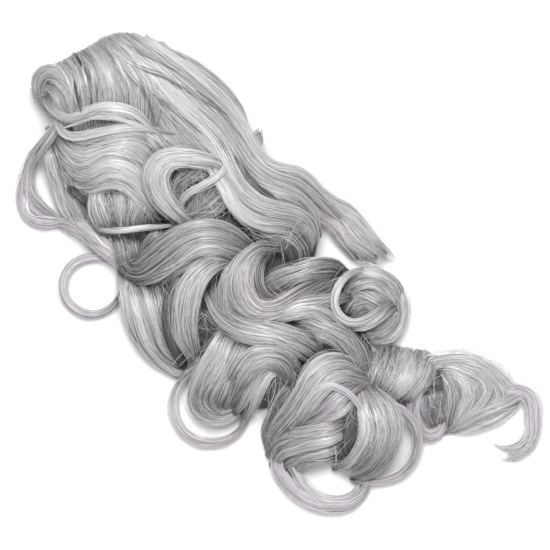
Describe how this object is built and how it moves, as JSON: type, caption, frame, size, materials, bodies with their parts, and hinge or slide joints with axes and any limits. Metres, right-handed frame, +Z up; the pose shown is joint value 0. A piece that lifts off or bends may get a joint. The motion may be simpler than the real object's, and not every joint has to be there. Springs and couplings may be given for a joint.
{
  "type": "claw clip ponytail",
  "caption": "Long curled hairpiece: smooth sheets of hair drawn over a hidden claw clip, falling into waves, ring curls and a loose tail, lying on a surface.",
  "frame": {"origin": "middle of the outline on the surface that the hair lies on", "axes": "+X along the length, from the clip to the tip of the hair; +Y across; +Z up, away from the surface"},
  "size_m": [0.4982, 0.2241, 0.0612],
  "materials": {
    "clip": "moulded, satin",
    "hair": "silver lilac synthetic hair, silky sheen"
  },
  "bodies": {
    "root": {"claw_clip": "clip", "hair": "hair"}
  },
  "joints": []
}
